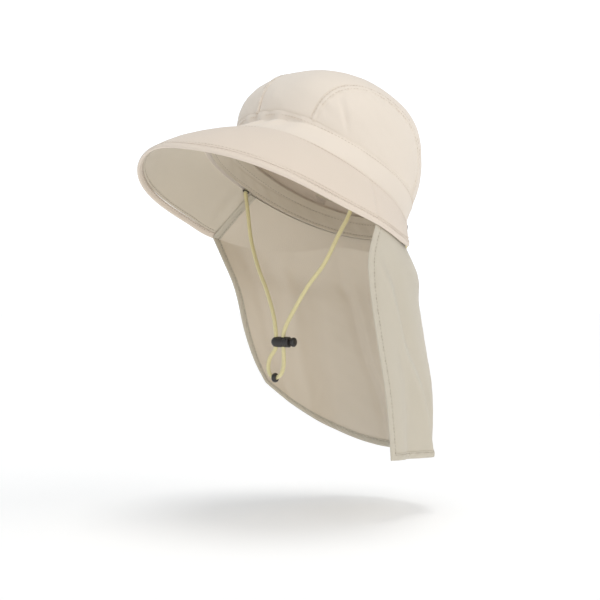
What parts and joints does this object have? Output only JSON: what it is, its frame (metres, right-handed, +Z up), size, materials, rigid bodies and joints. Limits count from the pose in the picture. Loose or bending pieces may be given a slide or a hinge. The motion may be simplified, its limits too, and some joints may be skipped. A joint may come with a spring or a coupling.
{
  "type": "sun hat",
  "caption": "Soft cloth sun hat with a panelled crown on a band, a downturned brim with tails, a long neck flap and an adjustable chin cord with a lock.",
  "frame": {"origin": "middle of the head opening, in the plane of the opening, where the hat sits on a head", "axes": "+Z up as worn, with the crown pitched back 26.5 degrees; the wearer faces -Y; +X is the wearer's left"},
  "size_m": [0.2334, 0.2723, 0.3362],
  "materials": {
    "crown_cloth": "smooth woven cream cloth, lightly creased",
    "sweatband_cloth": "soft woven tape",
    "brim_cloth": "stiffened woven cloth with topstitched edge",
    "flap_cloth": "light woven cloth, softly folded",
    "cord": "round braided cord",
    "black_plastic": "moulded black plastic"
  },
  "bodies": {
    "hat": {"crown_centre_panel": "crown_cloth", "crown_side_left": "crown_cloth", "crown_side_right": "crown_cloth", "crown_band": "crown_cloth", "sweatband": "sweatband_cloth", "brim": "brim_cloth", "brim_binding": "brim_cloth", "neck_flap": "flap_cloth", "flap_hem": "flap_cloth", "eyelet_left": "black_plastic", "eyelet_right": "black_plastic", "chin_cord": "cord", "rear_cord": "cord", "chin_lock": "black_plastic", "rear_lock": "black_plastic", "cord_bead": "black_plastic"},
    "chin_button": {"chin_lock_button": "black_plastic"},
    "rear_button": {"rear_lock_button": "black_plastic"}
  },
  "joints": [
    {"name": "chin_button_press", "type": "slide", "parent": "hat", "child": "chin_button", "axis": [-0.9455, -0.3256, 0], "range_m": [0, 0.0025], "stiffness_N_per_m": 200, "springref_m": -0.002},
    {"name": "rear_button_press", "type": "slide", "parent": "hat", "child": "rear_button", "axis": [-1, 0, 0], "range_m": [0, 0.0025], "stiffness_N_per_m": 200, "springref_m": -0.002}
  ]
}
